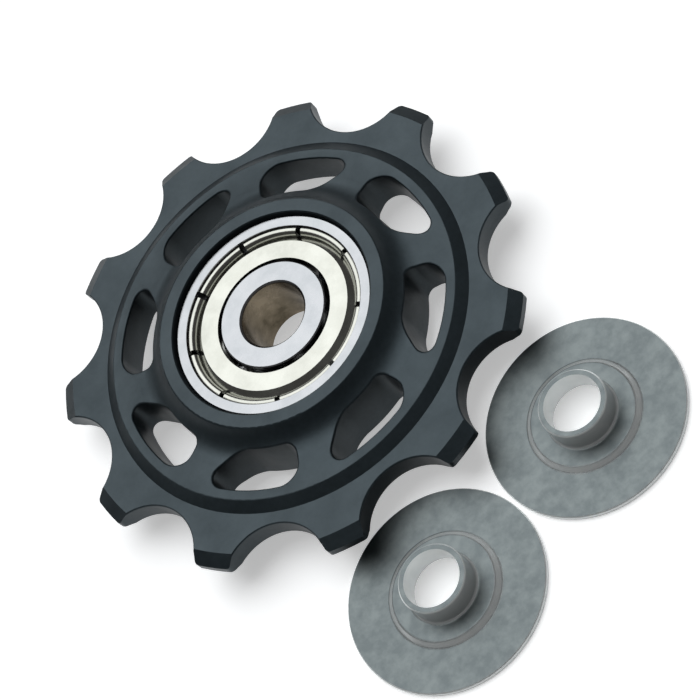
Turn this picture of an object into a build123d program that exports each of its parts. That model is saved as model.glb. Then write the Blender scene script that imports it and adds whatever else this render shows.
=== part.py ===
from build123d import *
import math
import os

# A jockey wheel of a bicycle's rear derailleur: a moulded 11-tooth wheel pressed on a shielded
# ball bearing, with the two flanged bush caps that carry it on its pivot bolt lying beside it.
# Millimetres. The wheel lies flat, its axis is +Z, and the origin is the middle of its bore.

# Chain and teeth
chain_pitch = 12.7
teeth = 11
roller_diameter = 7.75
roller_play = 0.07
gap_radius = 4.87
tip_below_pitch = 0.34
tooth_width = 2.0
bevel_length = 1.15
tip_land = 0.7
tip_corner = 0.4
gap_edge_round = 0.15

# Raised middle of the wheel, its hub and the windows between its spokes
rim_radius = 16.5
rim_step_length = 1.0
rim_width = 3.3
rim_corner_round = 0.2
hub_width = 7.0
hub_wall = 1.3
hub_corner_round = 0.2
hub_mouth_chamfer = 0.1
flare_radius = 3.6
windows = 8
first_window_angle = 132.9
spoke_width = 3.8
spoke_spread = 8.0
window_inner_radius = 12.45
window_outer_radius = 15.35
window_outer_corner = 1.15
window_inner_corner = 1.05
window_draft = 3.0
window_edge_round = 0.2

# Ball bearing
bore = 6.0
bearing_diameter = 19.0
bearing_width = 6.0
bore_chamfer = 0.2
inner_ring_chamfer = 0.1
outer_ring_chamfer = 0.25
balls = 7
ball_diameter = 3.5
ball_play = 0.02
race_conformity = 0.52
race_depth = 0.54

# Shields, pressed sheet crimped in the outer ring
shield_sheet = 0.25
shield_inset = 0.23
shield_bore_gap = 0.4
shield_slope_length = 0.65
shield_trough_depth = 0.41
bead_radius = 0.42
bead_inset = 0.16
bead_foot_depth = 0.37
bead_play = 0.02
outer_ring_wall = 0.94
lip_overhang = 0.14
lip_height = 0.24
shield_notches = 9
notch_width = 0.5
notch_into_slope = 0.05
notch_turn = -6.0

# Cage, two pressed halves that hold the balls apart
cage_sheet = 0.3
cage_side_gap = 0.4
pocket_play = 0.05
tab_width = 0.9
tab_reach = 0.75
tab_notch_play = 0.05

# Flanged bush caps, pressed sheet
pivot_bolt_bore = 5.0
cap_sheet = 0.5
cap_flange_diameter = 17.7
cap_boss_diameter = 9.2
cap_boss_height = 0.45
cap_boss_round = 0.25
cap_root_round = 0.25
cap_collar_length = 2.25
cap_collar_chamfer = 0.1
cap_flange_chamfer = 0.08
cap_gap = 0.35
cap_tuck = 2.4
caps_direction = -84.0

# Sizes that follow
pitch_radius = chain_pitch / 2 / math.sin(math.pi / teeth)
root_radius = pitch_radius - roller_diameter / 2 - roller_play
tip_radius = pitch_radius - tip_below_pitch
bore_radius = bore / 2
bearing_radius = bearing_diameter / 2
bearing_face = bearing_width / 2
tooth_face = tooth_width / 2
hub_face = hub_width / 2
hub_radius = bearing_radius + hub_wall
rim_face = rim_width / 2
rim_foot = rim_radius + rim_step_length
flare_reach = math.sqrt(flare_radius**2 - (flare_radius - hub_face + rim_face) ** 2)
flare_end = hub_radius + flare_reach
flare_turn = math.asin(flare_reach / flare_radius)
ball_radius = ball_diameter / 2
ball_circle_radius = (bore_radius + bearing_radius) / 2
race_radius = race_conformity * ball_diameter
inner_race_floor = ball_circle_radius - ball_radius - ball_play
outer_race_floor = ball_circle_radius + ball_radius + ball_play
inner_shoulder = inner_race_floor + race_depth
outer_shoulder = outer_race_floor - race_depth
race_half_width = math.sqrt(race_radius**2 - (race_radius - race_depth) ** 2)
groove_radius = bearing_radius - outer_ring_wall
bead_outer = groove_radius - bead_play
bead_centre = bead_outer - bead_radius
bead_centre_height = bearing_face - bead_inset - bead_radius
bead_foot = bead_centre_height - bead_foot_depth
cap_distance = tip_radius + cap_flange_diameter / 2 - cap_tuck
cap_spread = math.degrees(math.asin((cap_flange_diameter + cap_gap) / 2 / cap_distance))


def ring(section_lines):
    """The solid of revolution of a closed outline of (radius, height), about the wheel's axis."""
    section = make_face(Plane.XZ * section_lines)
    return revolve(section, Axis.Z, 360)


def tooth_outline():
    """The teeth in plan: a disc at the tips, less one round gap for each roller."""
    outline = Circle(tip_radius)
    for place in PolarLocations(root_radius + gap_radius, teeth):
        outline -= place * Circle(gap_radius)
    tips = outline.vertices().filter_by(lambda v: math.hypot(v.X, v.Y) > tip_radius - tip_corner)
    return fillet(tips, tip_corner)


def toothed_disc():
    """The toothed disc: its edges are rounded, and its teeth are bevelled to a narrow land."""
    disc = extrude(tooth_outline(), tooth_face, both=True)
    disc = fillet(disc.faces().filter_by(Axis.Z).edges(), gap_edge_round)
    bevels = Polyline(
        (bearing_radius, -tooth_face),
        (tip_radius - bevel_length, -tooth_face),
        (tip_radius, -tip_land / 2),
        (tip_radius, tip_land / 2),
        (tip_radius - bevel_length, tooth_face),
        (bearing_radius, tooth_face),
        close=True,
    )
    return disc & ring(bevels)


def raised_middle():
    """The turned middle: the bearing's seat, the flared hub and the rim with its slope."""
    upper = Polyline(
        (bearing_radius, hub_face - hub_mouth_chamfer),
        (bearing_radius + hub_mouth_chamfer, hub_face),
        (hub_radius, hub_face),
    )
    upper += ThreePointArc(
        (hub_radius, hub_face),
        (
            flare_end - flare_radius * math.sin(flare_turn / 2),
            rim_face + flare_radius * (1 - math.cos(flare_turn / 2)),
        ),
        (flare_end, rim_face),
    )
    upper += Polyline((flare_end, rim_face), (rim_radius, rim_face), (rim_foot, tooth_face))
    seat = Line(
        (bearing_radius, hub_face - hub_mouth_chamfer), (bearing_radius, hub_mouth_chamfer - hub_face)
    )
    foot = Line((rim_foot, tooth_face), (rim_foot, -tooth_face))
    section = make_face(upper + mirror(upper, Plane.XZ) + seat + foot)
    for radius, corner_round in ((hub_radius, hub_corner_round), (rim_radius, rim_corner_round)):
        corners = section.vertices().filter_by(lambda v: math.isclose(v.X, radius, abs_tol=1e-6))
        section = fillet(corners, corner_round)
    return revolve(Plane.XZ * section, Axis.Z, 360)


def window_cutter():
    """One window, at the +X side. Its outline is drawn at the hub's lower face and widens from there
    to the upper one. Each side leans from the spoke beside it, which spreads towards the hub."""
    half_turn = math.radians(180 / windows)
    lean = half_turn + math.radians(spoke_spread)
    rim_end_x = window_outer_radius * math.cos(half_turn) + spoke_width / 2 * math.sin(half_turn)
    rim_end_y = window_outer_radius * math.sin(half_turn) - spoke_width / 2 * math.cos(half_turn)
    apex = rim_end_x - rim_end_y / math.tan(lean)
    reach = 2 * window_outer_radius
    far = apex + reach * math.cos(lean)
    side = reach * math.sin(lean)
    wedge = make_face(Polyline((apex, 0), (far, -side), (far, side), close=True))
    outline = (Circle(window_outer_radius) - Circle(window_inner_radius)) & wedge
    corners = outline.vertices().sort_by(lambda v: math.hypot(v.X, v.Y))
    outline = fillet(corners[-2:], window_outer_corner)
    corners = outline.vertices().sort_by(lambda v: math.hypot(v.X, v.Y))
    outline = fillet(corners[:2], window_inner_corner)
    return Pos(0, 0, -hub_face) * extrude(outline.face(), hub_width, taper=-window_draft)


def on_window_mouth(edge):
    """Whether an edge goes round a window's mouth. The circle where the flare runs into the rim
    doesn't: it crosses the spokes, and is smooth."""
    points = [edge @ share for share in (0, 0.5, 1)]
    radii = [math.hypot(point.X, point.Y) for point in points]
    heights = [abs(point.Z) for point in points]
    if min(radii) < (hub_radius + window_inner_radius) / 2:
        return False
    if max(radii) > (window_outer_radius + rim_radius) / 2 or min(heights) < rim_face - 0.01:
        return False
    return not math.isclose(radii[1], flare_end, abs_tol=1e-3) or max(heights) > rim_face + 0.01


def toothed_wheel():
    """The moulded wheel: teeth, rim step, spokes, flared hub and the seat of the bearing. The middle
    is turned so that it starts and ends inside a spoke."""
    spoke_angle = first_window_angle + 180 / windows
    wheel = toothed_disc() + Rot(0, 0, spoke_angle) * raised_middle()
    cutter = window_cutter()
    for number in range(windows):
        wheel -= Rot(0, 0, first_window_angle + number * 360 / windows) * cutter
    return fillet(wheel.edges().filter_by(on_window_mouth), window_edge_round)


def raced_ring(upper_points, race_floor):
    """A bearing ring from the upper half of its section, which starts at the race's edge."""
    lower_points = [(r, -z) for r, z in upper_points]
    race = ThreePointArc(lower_points[0], (race_floor, 0), upper_points[0])
    back = Line(upper_points[-1], lower_points[-1])
    return ring(race + Polyline(*upper_points) + Polyline(*lower_points) + back)


def outer_ring():
    """The bearing's outer ring, with a ball race and a lipped seat for a shield at each end."""
    lip_face = bearing_face - lip_height
    upper = [
        (outer_shoulder, race_half_width),
        (outer_shoulder, bead_foot),
        (groove_radius, bead_foot),
        (groove_radius, lip_face - lip_overhang),
        (groove_radius - lip_overhang, lip_face),
        (groove_radius - lip_overhang, bearing_face),
        (bearing_radius - outer_ring_chamfer, bearing_face),
        (bearing_radius, bearing_face - outer_ring_chamfer),
    ]
    return raced_ring(upper, outer_race_floor)


def inner_ring():
    """The bearing's inner ring, bored for the caps' collars, with a ball race round its middle."""
    upper = [
        (inner_shoulder, race_half_width),
        (inner_shoulder, bearing_face - inner_ring_chamfer),
        (inner_shoulder - inner_ring_chamfer, bearing_face),
        (bore_radius + bore_chamfer, bearing_face),
        (bore_radius, bearing_face - bore_chamfer),
    ]
    return raced_ring(upper, inner_race_floor)


def shield():
    """The upper shield: a flat ring, a slope down to a trough, and a bead that is rolled over and
    stands on the outer ring's step, under its lip. Notches part the bead into tongues."""
    flat_top = bearing_face - shield_inset
    flat_bottom = flat_top - shield_sheet
    inner_edge = inner_shoulder + shield_bore_gap
    trough_edge = bead_centre - bead_radius
    flat_edge = trough_edge - shield_slope_length
    trough_top = flat_top - shield_trough_depth
    trough_bottom = trough_top - shield_sheet
    sheet_shift = shield_sheet * math.tan(math.atan2(shield_trough_depth, shield_slope_length) / 2)
    inside_radius = bead_radius - shield_sheet
    bead_top = bead_centre_height + bead_radius
    lines = Polyline(
        (bead_centre - bead_radius, bead_centre_height),
        (trough_edge, trough_top),
        (flat_edge, flat_top),
        (inner_edge, flat_top),
        (inner_edge, flat_bottom),
        (flat_edge - sheet_shift, flat_bottom),
        (trough_edge - sheet_shift, trough_bottom),
        (bead_centre - inside_radius, trough_bottom),
        (bead_centre - inside_radius, bead_centre_height),
    )
    lines += ThreePointArc(
        (bead_centre - inside_radius, bead_centre_height),
        (bead_centre, bead_top - shield_sheet),
        (bead_centre + inside_radius, bead_centre_height),
    )
    lines += Polyline(
        (bead_centre + inside_radius, bead_centre_height),
        (bead_centre + inside_radius, bead_foot),
        (bead_outer, bead_foot),
        (bead_outer, bead_centre_height),
    )
    lines += ThreePointArc(
        (bead_outer, bead_centre_height),
        (bead_centre, bead_top),
        (bead_centre - bead_radius, bead_centre_height),
    )
    plate = ring(lines)
    notch = Box(groove_radius, notch_width, bearing_face, align=(Align.MIN, Align.CENTER, Align.MIN))
    for number in range(shield_notches):
        turn = Rot(0, 0, notch_turn + number * 360 / shield_notches)
        plate -= turn * Pos(trough_edge - notch_into_slope, 0, bead_foot - bead_play) * notch
    return plate


def cage_half(pocket_places):
    """The upper half of the cage before its tabs: a flat ribbon with a dome over each ball."""
    inner_edge = inner_shoulder + cage_side_gap
    outer_edge = outer_shoulder - cage_side_gap
    pocket_radius = ball_radius + pocket_play
    dome_radius = pocket_radius + cage_sheet
    band = extrude(Circle(outer_edge) - Circle(inner_edge), dome_radius)
    half = extrude(Circle(outer_edge) - Circle(inner_edge), cage_sheet)
    for place in pocket_places:
        half += (place * Sphere(dome_radius)) & band
    for place in pocket_places:
        half -= place * Sphere(pocket_radius)
    return half


def cage():
    """The two halves of the cage: the lower one's tabs pass the upper one's edge and fold over."""
    outer_edge = outer_shoulder - cage_side_gap
    pocket_places = list(PolarLocations(ball_circle_radius, balls))
    upper = cage_half(pocket_places)
    lower = mirror(upper, Plane.XY)
    notch_depth = cage_sheet + tab_notch_play
    notch = Box(2 * notch_depth, tab_width + 2 * tab_notch_play, 2 * cage_sheet)
    stem = Box(cage_sheet, tab_width, 3 * cage_sheet, align=(Align.MAX, Align.CENTER, Align.MIN))
    fold = Box(tab_reach, tab_width, cage_sheet, align=(Align.MAX, Align.CENTER, Align.MIN))
    for number in range(balls):
        turn = Rot(0, 0, (number + 0.5) * 360 / balls)
        upper -= turn * Pos(outer_edge, 0, cage_sheet / 2) * notch
        lower += turn * Pos(outer_edge, 0, -cage_sheet) * stem
        lower += turn * Pos(outer_edge, 0, cage_sheet) * fold
    return upper, lower


def bush_cap():
    """A pressed cap, collar up: a flange, a raised boss that bears on the bearing's inner ring,
    and a collar that fits the ring's bore and takes the pivot bolt."""
    bolt_radius = pivot_bolt_bore / 2
    collar_radius = bore_radius
    flange_radius = cap_flange_diameter / 2
    boss_radius = cap_boss_diameter / 2
    boss_top = cap_sheet + cap_boss_height
    top = boss_top + cap_collar_length
    sheet_shift = cap_sheet * math.tan(math.radians(22.5))
    root_centre = (collar_radius + cap_root_round, boss_top + cap_root_round)
    flare_radius_below = root_centre[0] - bolt_radius
    cos45 = math.cos(math.radians(45))
    outside = Polyline(
        (bolt_radius, top),
        (collar_radius - cap_collar_chamfer, top),
        (collar_radius, top - cap_collar_chamfer),
        (collar_radius, root_centre[1]),
    )
    root = ThreePointArc(
        (collar_radius, root_centre[1]),
        (root_centre[0] - cap_root_round * cos45, root_centre[1] - cap_root_round * cos45),
        (root_centre[0], boss_top),
    )
    flange = FilletPolyline(
        (root_centre[0], boss_top),
        (boss_radius, boss_top),
        (boss_radius + cap_boss_height, cap_sheet),
        (flange_radius - cap_flange_chamfer, cap_sheet),
        (flange_radius, cap_sheet - cap_flange_chamfer),
        (flange_radius, 0),
        (boss_radius + cap_boss_height - sheet_shift, 0),
        (boss_radius - sheet_shift, cap_boss_height),
        (root_centre[0], cap_boss_height),
        radius=[cap_boss_round, cap_boss_round, 0, 0, 0, cap_boss_round, cap_boss_round],
    )
    bolt_mouth = ThreePointArc(
        (root_centre[0], root_centre[1] - flare_radius_below),
        (
            root_centre[0] - flare_radius_below * cos45,
            root_centre[1] - flare_radius_below * cos45,
        ),
        (bolt_radius, root_centre[1]),
    )
    bolt_wall = Line((bolt_radius, root_centre[1]), (bolt_radius, top))
    return ring(outside + root + flange + bolt_mouth + bolt_wall)


def all_parts():
    """Every piece of the wheel by its name, in its place."""
    upper_shield = shield()
    upper_cage, lower_cage = cage()
    pieces = {
        "toothed_wheel": toothed_wheel(),
        "bearing_outer_ring": outer_ring(),
        "bearing_inner_ring": inner_ring(),
        "shield_upper": upper_shield,
        "shield_lower": mirror(upper_shield, Plane.XY),
        "cage_upper": upper_cage,
        "cage_lower": lower_cage,
    }
    for number, place in enumerate(PolarLocations(ball_circle_radius, balls), start=1):
        pieces[f"ball_{number}"] = place * Sphere(ball_radius)
    for side, turn in (("left", -cap_spread), ("right", cap_spread)):
        place = Rot(0, 0, caps_direction + turn) * Pos(cap_distance, 0, -hub_face)
        pieces[f"bush_cap_{side}"] = place * bush_cap()
    return pieces


os.makedirs("parts", exist_ok=True)
for name, piece in all_parts().items():
    export_step(piece, f"parts/{name}.step")
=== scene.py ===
import math

import bpy
import numpy as np
from mathutils import Matrix, Vector


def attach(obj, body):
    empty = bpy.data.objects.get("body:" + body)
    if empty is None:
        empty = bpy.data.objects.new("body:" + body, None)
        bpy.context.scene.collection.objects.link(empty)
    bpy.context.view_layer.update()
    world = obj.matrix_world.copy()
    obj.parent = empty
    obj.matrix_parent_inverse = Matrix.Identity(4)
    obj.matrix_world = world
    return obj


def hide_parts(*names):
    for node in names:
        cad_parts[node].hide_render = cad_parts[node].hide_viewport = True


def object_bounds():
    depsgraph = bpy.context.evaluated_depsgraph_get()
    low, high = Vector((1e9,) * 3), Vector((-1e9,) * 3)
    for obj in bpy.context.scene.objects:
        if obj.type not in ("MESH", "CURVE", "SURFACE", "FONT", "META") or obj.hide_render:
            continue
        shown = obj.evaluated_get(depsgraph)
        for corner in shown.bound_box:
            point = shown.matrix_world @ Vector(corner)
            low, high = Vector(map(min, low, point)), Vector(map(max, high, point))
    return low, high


# A derailleur's jockey wheel lies flat on a pale table: a moulded toothed wheel round a shielded
# ball bearing, with its two pressed bush caps in front of it. Metres, in the frame of the CAD.

MM = 0.001

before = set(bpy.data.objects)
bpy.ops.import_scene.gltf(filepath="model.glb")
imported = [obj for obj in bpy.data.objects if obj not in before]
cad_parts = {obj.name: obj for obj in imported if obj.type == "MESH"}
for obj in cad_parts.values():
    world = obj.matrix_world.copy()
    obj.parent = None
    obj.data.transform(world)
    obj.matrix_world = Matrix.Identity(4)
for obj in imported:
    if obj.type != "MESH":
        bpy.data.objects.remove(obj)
cad_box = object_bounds()
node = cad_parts
table_height = cad_box[0][2]

# The raised middle's outline, seen from the side. The solid's is level from the flare to the rim,
# and here it falls off slightly. Points are (radius, height). What is nearer to mid-height than
# FULL_LIFT_FROM is lifted less.
HUB_CORNER = (10.8 * MM, 3.5 * MM)
FLARE_RADIUS = 3.6 * MM
RIM_CORNER = (16.3 * MM, 1.65 * MM)
RIM_SLOPE = math.radians(6)
FULL_LIFT_FROM = 1.2 * MM

# Windows. The solid has them alike on both sides, and here they lean: one side is nearly radial
# and the other slants. Each side is the line through two points (radius, angle from the middle).
# The lean grows from nothing to full between the radii in LEAN_STARTS, and fades in LEAN_ENDS.
WINDOWS = 8
FIRST_WINDOW = math.radians(132.9)
DRAWN_SIDE = ((12.2516 * MM, math.radians(12.26)), (15.4205 * MM, math.radians(16.10)))
RADIAL_SIDE = ((12.1 * MM, math.radians(15.36)), (15.565 * MM, math.radians(15.76)))
SLANTED_SIDE = ((12.1 * MM, math.radians(7.14)), (15.565 * MM, math.radians(20.32)))
LEAN_STARTS = (10.95 * MM, 11.9 * MM)
LEAN_ENDS = (15.9 * MM, 16.9 * MM)
DIFFERENCE_STEP = 0.001 * MM

# Camera: a long lens that looks down on the wheel, with the wheel's axis leaning to the upper left
IMAGE_SIDE = 700
FOCAL_PIXELS = 2829.86
SENSOR_WIDTH = 36.0
CAMERA_DISTANCE = 243.37 * MM
CLIP_START = 10 * MM
CLIP_END = 5.0
ORIGIN_PIXEL = (288.573, 328.286)
AXIS_TILT = math.radians(37.327)
AXIS_TURN = math.radians(137.658)
WHEEL_TURN = math.radians(178.313)

# Light: one big softbox behind the wheel, where its flat faces mirror it into the camera. The
# levels are of white light, from the room's walls and ceiling and from the table's glow.
SOFTBOX_SIDE = 0.9
SOFTBOX_DISTANCE = 0.8
SOFTBOX_ELEVATION = math.radians(63)
SOFTBOX_WATTS = 4.8
SOFTBOX_COLOUR = (0.95, 0.98, 1.0)
WALL_LEVEL = 0.1
CEILING_LEVEL = 0.8
CEILING_EDGE = 0.72
CEILING_LEAN = math.radians(25)
TABLE_GLOW = 0.42
TABLE_REACH = 1.5
WHITE = "#ffffff"

# Finishes: noise values between which a surface's tone and its gloss go from low to high, the
# relief of bare metal, and where the painted reflection in the bearing's bore ends: there the bore
# is painted darker and brown for the warm surroundings it mirrors
TONE_RANGE = (0.35, 0.65)
GLOSS_RANGE = (0.3, 0.7)
METAL_RELIEF = 0.01 * MM
BORE_RADIUS = 3 * MM
PAINTED_REFLECTION_ENDS = (BORE_RADIUS + 0.02 * MM, BORE_RADIUS + 0.1 * MM)

# Moulded nylon: the real grain is too fine to show, so it is drawn coarser. The tint of what it
# mirrors is matched to the object.
NYLON_GRAIN_MM = 0.45
NYLON_GRAIN_DEPTH = 0.02 * MM
NYLON_TINT = (0.73, 0.91, 1.0, 1.0)

# Zinc plate: how upright a face's normal is where the painted highlight on walls and round edges
# gives way to the flat faces' tone
PAINTED_HIGHLIGHT_TO_FLAT = (0.75, 0.98)


def place_camera():
    """Sets the camera from the wheel axis's tilt and turn in the picture and the wheel's turn."""
    axis = Vector((
        math.sin(AXIS_TILT) * math.cos(AXIS_TURN),
        math.sin(AXIS_TILT) * math.sin(AXIS_TURN),
        math.cos(AXIS_TILT),
    ))
    across = Vector((-math.sin(AXIS_TURN), math.cos(AXIS_TURN), 0))
    along = axis.cross(across)
    x_axis = math.cos(WHEEL_TURN) * across + math.sin(WHEEL_TURN) * along
    y_axis = -math.sin(WHEEL_TURN) * across + math.cos(WHEEL_TURN) * along
    camera_to_world = Matrix((x_axis, y_axis, axis))
    centre = IMAGE_SIDE / 2
    origin_seen = Vector((
        (ORIGIN_PIXEL[0] - centre) / FOCAL_PIXELS * CAMERA_DISTANCE,
        -(ORIGIN_PIXEL[1] - centre) / FOCAL_PIXELS * CAMERA_DISTANCE,
        -CAMERA_DISTANCE,
    ))
    data = bpy.data.cameras.new("camera")
    data.sensor_width = SENSOR_WIDTH
    data.lens = FOCAL_PIXELS * SENSOR_WIDTH / IMAGE_SIDE
    data.clip_start = CLIP_START
    data.clip_end = CLIP_END
    camera = bpy.data.objects.new("camera", data)
    bpy.context.scene.collection.objects.link(camera)
    camera.matrix_world = (
        Matrix.Translation(-(camera_to_world @ origin_seen)) @ camera_to_world.to_4x4()
    )
    bpy.context.scene.camera = camera


def linear(hex_colour):
    """An sRGB hex colour as the linear colour that a node takes."""
    parts = [int(hex_colour[i:i + 2], 16) / 255 for i in (1, 3, 5)]
    return [p / 12.92 if p <= 0.04045 else ((p + 0.055) / 1.055) ** 2.4 for p in parts] + [1]


def add(tree, kind, links=(), **settings):
    """Adds one node, with its settings by name and links as (input, another node's output) pairs.

    A setting that isn't the node's own is the value of the input of that name."""
    made = tree.nodes.new("ShaderNode" + kind)
    for name, value in settings.items():
        if hasattr(made, name):
            setattr(made, name, value)
        else:
            made.inputs[name.replace("_", " ")].default_value = value
    for name, output in links:
        tree.links.new(output, made.inputs[name])
    return made


def new_material(name):
    """An empty material and its node tree."""
    material = bpy.data.materials.new(name)
    material.use_nodes = True
    material.node_tree.nodes.clear()
    return material, material.node_tree


def finish_material(material, shader):
    """Ends a material with its output node."""
    add(material.node_tree, "OutputMaterial", [("Surface", shader.outputs[0])])
    return material


def tones(tree, factor, low, high):
    """A ramp between two colours, as the factor goes through TONE_RANGE."""
    ramp = add(tree, "ValToRGB", [("Fac", factor)])
    for element, colour, position in zip(ramp.color_ramp.elements, (low, high), TONE_RANGE):
        element.color = linear(colour)
        element.position = position
    return ramp.outputs["Color"]


def span(tree, value, source, target):
    """A value spread from one range (low, high) to another and kept inside it."""
    return add(
        tree, "MapRange", [("Value", value)],
        From_Min=source[0], From_Max=source[1], To_Min=target[0], To_Max=target[1],
    ).outputs["Result"]


def blend(tree, share, first, second):
    """One colour where the share is 0, and the other where it is 1."""
    mixed = add(tree, "Mix", [("Factor", share)], data_type="RGBA")
    colour_inputs = [socket for socket in mixed.inputs if socket.type == "RGBA"]
    for colour, socket in zip((first, second), colour_inputs):
        tree.links.new(colour, socket)
    return next(socket for socket in mixed.outputs if socket.type == "RGBA")


def distance_from_axis(tree, place):
    """How far a point is from the wheel's axis, in metres."""
    flat = add(tree, "VectorMath", [(0, place)], operation="MULTIPLY")
    flat.inputs[1].default_value = (1, 1, 0)
    return add(tree, "VectorMath", [(0, flat.outputs[0])], operation="LENGTH").outputs["Value"]


def noise(tree, place, size_mm):
    """Soft patches of about the given size."""
    return add(
        tree, "TexNoise", [("Vector", place)], Scale=1 / (size_mm * MM), Detail=4.0, Roughness=0.6
    ).outputs["Fac"]


def metal(tree, colour, roughness, height):
    """A bare metal's shader, with fine relief."""
    bump = add(tree, "Bump", [("Height", height)], Strength=0.2, Distance=METAL_RELIEF)
    return add(tree, "BsdfPrincipled", [
        ("Base Color", colour), ("Roughness", roughness), ("Normal", bump.outputs["Normal"]),
    ], Metallic=1.0)


def moulded_nylon():
    """Glass-filled nylon, injection moulded in a spark-eroded mould: satin blue-black with a fine
    grain. Its flat faces mirror the softbox as a soft slate grey, and its slopes stay near black."""
    material, tree = new_material("moulded_nylon")
    place = add(tree, "TexCoord").outputs["Object"]
    grain = noise(tree, place, NYLON_GRAIN_MM)
    cloud = noise(tree, place, 4.0)
    grained = add(tree, "Bump", [("Height", grain)], Strength=0.15, Distance=NYLON_GRAIN_DEPTH)
    shader = add(tree, "BsdfPrincipled", [
        ("Base Color", tones(tree, grain, "#0d1316", "#161c20")),
        ("Roughness", span(tree, cloud, GLOSS_RANGE, (0.36, 0.5))),
        ("Normal", grained.outputs["Normal"]),
    ], IOR=1.53, Specular_Tint=NYLON_TINT)
    return finish_material(material, shader)


def ground_steel():
    """Bearing steel, ground on its faces: bright, cool and finely satin. The bore is painted darker
    and brown: a painted reflection of the warm surroundings it mirrors."""
    material, tree = new_material("ground_bearing_steel")
    place = add(tree, "TexCoord").outputs["Object"]
    patches = noise(tree, place, 2.0)
    faces = tones(tree, patches, "#8b8d8f", "#98999b")
    # Painted reflection: darker, brown tones for the bore, standing in for the warm surroundings
    bore_painted_reflection = tones(tree, patches, "#5d5546", "#8a7f6d")
    radius = distance_from_axis(tree, place)
    colour = blend(tree, span(tree, radius, PAINTED_REFLECTION_ENDS, (0, 1)), bore_painted_reflection, faces)
    gloss = span(tree, patches, GLOSS_RANGE, (0.2, 0.3))
    return finish_material(material, metal(tree, colour, gloss, patches))


def steel(name, low, high, roughness, patch_mm):
    """Sheet or ball steel whose tone and gloss drift in soft patches."""
    material, tree = new_material(name)
    place = add(tree, "TexCoord").outputs["Object"]
    patches = noise(tree, place, patch_mm)
    gloss = span(tree, patches, GLOSS_RANGE, (roughness - 0.04, roughness + 0.04))
    return finish_material(material, metal(tree, tones(tree, patches, low, high), gloss, patches))


def zinc_plate():
    """Pressed steel, barrel plated in dull zinc: flat faces are grey and mottled, and the walls and
    round edges that the press tool drew are painted bright, a painted highlight for light from the
    camera's side. These are drawn as partly metallic, because a full mirror would show the dim room
    in front of the wheel."""
    material, tree = new_material("zinc_plated_steel")
    place = add(tree, "TexCoord").outputs["Object"]
    mottle = noise(tree, place, 1.2)
    facing = add(tree, "NewGeometry").outputs["Normal"]
    upright = add(tree, "SeparateXYZ", [("Vector", facing)]).outputs["Z"]
    uprightness = add(tree, "Math", [(0, upright)], operation="ABSOLUTE").outputs[0]
    flatness = span(tree, uprightness, PAINTED_HIGHLIGHT_TO_FLAT, (0, 1))
    # Painted highlight: steep walls and round edges are painted bright, flat faces stay grey
    flat_tone = tones(tree, mottle, "#5d6364", "#6c7272")
    painted_wall_highlight = tones(tree, mottle, "#dfe3e3", "#e8ebea")
    gloss = span(tree, flatness, (0, 1), (0.25, 0.45))
    shader = metal(tree, blend(tree, flatness, painted_wall_highlight, flat_tone), gloss, mottle)
    tree.links.new(span(tree, flatness, (0, 1), (0.45, 1.0)), shader.inputs["Metallic"])
    return finish_material(material, shader)


def side_angle(radius, side):
    """The angle at which a window's side, a straight line through two points, is at the radius."""
    start, end = (np.array((r * math.cos(a), r * math.sin(a))) for r, a in side)
    way = (end - start) / np.linalg.norm(end - start)
    nearest = start - way * np.dot(start, way)
    along = np.sqrt(np.maximum(radius**2 - np.dot(nearest, nearest), 0))
    return np.arctan2(nearest[1] + along * way[1], nearest[0] + along * way[0])


def leaned(plan):
    """Where points of the drawn wheel, seen from above, lie once its windows lean."""
    radius = np.hypot(plan[:, 0], plan[:, 1])
    angle = np.arctan2(plan[:, 1], plan[:, 0])
    turn = 2 * math.pi / WINDOWS
    off_middle = (angle - FIRST_WINDOW + turn / 2) % turn - turn / 2
    drawn = side_angle(radius, DRAWN_SIDE)
    radial = side_angle(radius, RADIAL_SIDE)
    slanted = side_angle(radius, SLANTED_SIDE)
    in_window = (radial - slanted) / 2 + off_middle * (radial + slanted) / (2 * drawn)
    spoke_share = (turn - radial - slanted) / (turn - 2 * drawn)
    past_radial = radial + (off_middle - drawn) * spoke_share
    past_slanted = -slanted + (off_middle + drawn) * spoke_share
    moved = np.where(
        off_middle > drawn, past_radial, np.where(off_middle < -drawn, past_slanted, in_window)
    )
    share = np.interp(radius, LEAN_STARTS + LEAN_ENDS, (0, 1, 1, 0))
    new_angle = angle + share * (moved - off_middle)
    return np.stack([radius * np.cos(new_angle), radius * np.sin(new_angle)], axis=1)


def flare_height(radius, slope):
    """The raised middle's height at a radius, when it falls off by the slope from flare to rim."""
    inward = np.array((-math.cos(slope), math.sin(slope)))
    upward = np.array((math.sin(slope), math.cos(slope)))
    reach = np.array(RIM_CORNER) + FLARE_RADIUS * upward - np.array(HUB_CORNER)
    half = np.dot(reach, inward)
    length = -half - math.sqrt(half**2 - np.dot(reach, reach) + FLARE_RADIUS**2)
    flare_end = np.array(RIM_CORNER) + length * inward
    centre = flare_end + FLARE_RADIUS * upward
    arc = centre[1] - np.sqrt(np.maximum(FLARE_RADIUS**2 - (radius - centre[0])**2, 0))
    level = RIM_CORNER[1] + (RIM_CORNER[0] - radius) * math.tan(slope)
    return np.where(radius < flare_end[0], arc, level)


def as_moulded(points):
    """Where points of the drawn wheel lie once its windows lean and its middle falls off."""
    radius = np.hypot(points[:, 0], points[:, 1])
    lift = flare_height(radius, RIM_SLOPE) - flare_height(radius, 0)
    lift = np.where((radius > HUB_CORNER[0]) & (radius < RIM_CORNER[0]), lift, 0)
    lift *= np.clip(points[:, 2] / FULL_LIFT_FROM, -1, 1)
    return np.column_stack([leaned(points[:, :2]), points[:, 2] + lift])


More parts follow.
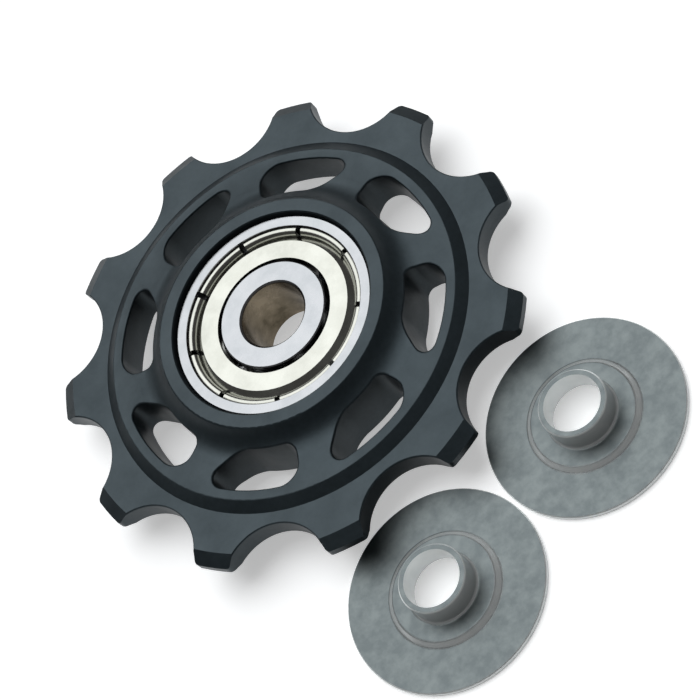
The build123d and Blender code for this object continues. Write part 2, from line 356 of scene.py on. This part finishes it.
def shape_as_moulded(mesh):
    """Moves the points of the wheel's mesh, and turns its normals with them."""
    points = np.empty(3 * len(mesh.vertices))
    mesh.vertices.foreach_get("co", points)
    points = points.reshape(-1, 3)
    corner_points = np.empty(len(mesh.loops), dtype=int)
    mesh.loops.foreach_get("vertex_index", corner_points)
    normals = np.empty(3 * len(mesh.loops))
    mesh.corner_normals.foreach_get("vector", normals)
    normals = normals.reshape(-1, 3)
    steps = DIFFERENCE_STEP * np.eye(3)
    stretch = np.stack([
        (as_moulded(points + step) - as_moulded(points - step)) / (2 * DIFFERENCE_STEP)
        for step in steps
    ], axis=2)
    turned = np.linalg.inv(stretch).transpose(0, 2, 1)[corner_points]
    normals = np.einsum("nij,nj->ni", turned, normals)
    normals /= np.linalg.norm(normals, axis=1)[:, None]
    mesh.vertices.foreach_set("co", as_moulded(points).ravel())
    mesh.update()
    mesh.normals_split_custom_set(normals.tolist())


def moulded_wheel(material):
    """The toothed wheel with leaning windows and a sloping middle, on a copy of the solid's mesh
    that stands in for it."""
    drawn = node["toothed_wheel"]
    mesh = drawn.data.copy()
    mesh.name = "moulded_wheel"
    shape_as_moulded(mesh)
    mesh.materials.clear()
    mesh.materials.append(material)
    wheel = bpy.data.objects.new("moulded_wheel", mesh)
    bpy.context.scene.collection.objects.link(wheel)
    wheel.matrix_world = drawn.matrix_world.copy()
    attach(wheel, "wheel")
    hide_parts("toothed_wheel")


def table_material():
    """A plain white table. A faint glow, for the camera and for what mirrors the table, lifts its
    lit part to white and leaves the object's shadow on it."""
    material, tree = new_material("white_table")
    seen = add(tree, "LightPath")
    camera_or_gloss = add(
        tree, "Math", [(0, seen.outputs["Is Camera Ray"]), (1, seen.outputs["Is Glossy Ray"])],
        operation="MAXIMUM",
    )
    seen_straight = add(
        tree, "Math", [(0, camera_or_gloss.outputs[0]), (1, seen.outputs["Is Transmission Ray"])],
        operation="MAXIMUM",
    )
    strength = add(tree, "MapRange", [("Value", seen_straight.outputs[0])], To_Max=TABLE_GLOW)
    glow = add(tree, "Emission", [("Strength", strength.outputs[0])], Color=linear(WHITE))
    matt = add(tree, "BsdfDiffuse", Color=linear("#f6f6f6"))
    shader = add(tree, "AddShader", [(0, matt.outputs[0]), (1, glow.outputs[0])])
    return finish_material(material, shader)


def table():
    """The floor under the object, far wider than any view."""
    mesh = bpy.data.meshes.new("table")
    corners = [(-1, -1), (1, -1), (1, 1), (-1, 1)]
    points = [(x * TABLE_REACH, y * TABLE_REACH, table_height) for x, y in corners]
    mesh.from_pydata(points, [], [(0, 1, 2, 3)])
    mesh.materials.append(table_material())
    made = bpy.data.objects.new("table", mesh)
    bpy.context.scene.collection.objects.link(made)


def softbox():
    """The square soft light: it stands behind the wheel, on the +Y side, and faces it."""
    light = bpy.data.lights.new("softbox", "AREA")
    light.energy = SOFTBOX_WATTS
    light.size = SOFTBOX_SIDE
    light.color = SOFTBOX_COLOUR
    made = bpy.data.objects.new("softbox", light)
    bpy.context.scene.collection.objects.link(made)
    made.location = (
        0,
        SOFTBOX_DISTANCE * math.cos(SOFTBOX_ELEVATION),
        SOFTBOX_DISTANCE * math.sin(SOFTBOX_ELEVATION),
    )
    made.rotation_euler = (-made.location).to_track_quat("-Z", "Y").to_euler()


def studio():
    """The room: dim walls and a pale ceiling light the object and are what it mirrors. Only the
    camera sees plain white in their place."""
    world = bpy.data.worlds.new("studio")
    bpy.context.scene.world = world
    world.use_nodes = True
    tree = world.node_tree
    tree.nodes.clear()
    seen = add(tree, "LightPath")
    way = add(tree, "TexCoord")
    towards_ceiling = add(
        tree, "VectorMath", [(0, way.outputs["Generated"])], operation="DOT_PRODUCT"
    )
    towards_ceiling.inputs[1].default_value = (0, math.sin(CEILING_LEAN), math.cos(CEILING_LEAN))
    level = add(
        tree, "MapRange", [("Value", towards_ceiling.outputs["Value"])],
        interpolation_type="SMOOTHSTEP",
        From_Min=CEILING_EDGE, From_Max=1.0, To_Min=WALL_LEVEL, To_Max=CEILING_LEVEL,
    )
    room = add(tree, "Background", [("Strength", level.outputs["Result"])], Color=linear(WHITE))
    backdrop = add(tree, "Background", Color=linear(WHITE), Strength=1.0)
    mix = add(
        tree, "MixShader",
        [("Fac", seen.outputs["Is Camera Ray"]), (1, room.outputs[0]), (2, backdrop.outputs[0])],
    )
    add(tree, "OutputWorld", [("Surface", mix.outputs[0])])


def dress(names, material):
    """Gives CAD nodes a material."""
    for name in names:
        node[name].data.materials.clear()
        node[name].data.materials.append(material)


place_camera()
table()
studio()
softbox()

balls = [name for name in node if name.startswith("ball_")]
nylon = moulded_nylon()
dress(["toothed_wheel"], nylon)
moulded_wheel(nylon)
dress(["bearing_outer_ring", "bearing_inner_ring"], ground_steel())
dress(["shield_upper", "shield_lower"], steel("pressed_steel", "#979790", "#a6a69f", 0.2, 3.0))
dress(["cage_upper", "cage_lower"], steel("cage_steel", "#8c8c88", "#989894", 0.35, 2.0))
dress(balls, steel("polished_steel", "#c8cacc", "#cccecf", 0.08, 3.0))
dress(["bush_cap_left", "bush_cap_right"], zinc_plate())

bpy.context.scene.view_settings.view_transform = "Standard"
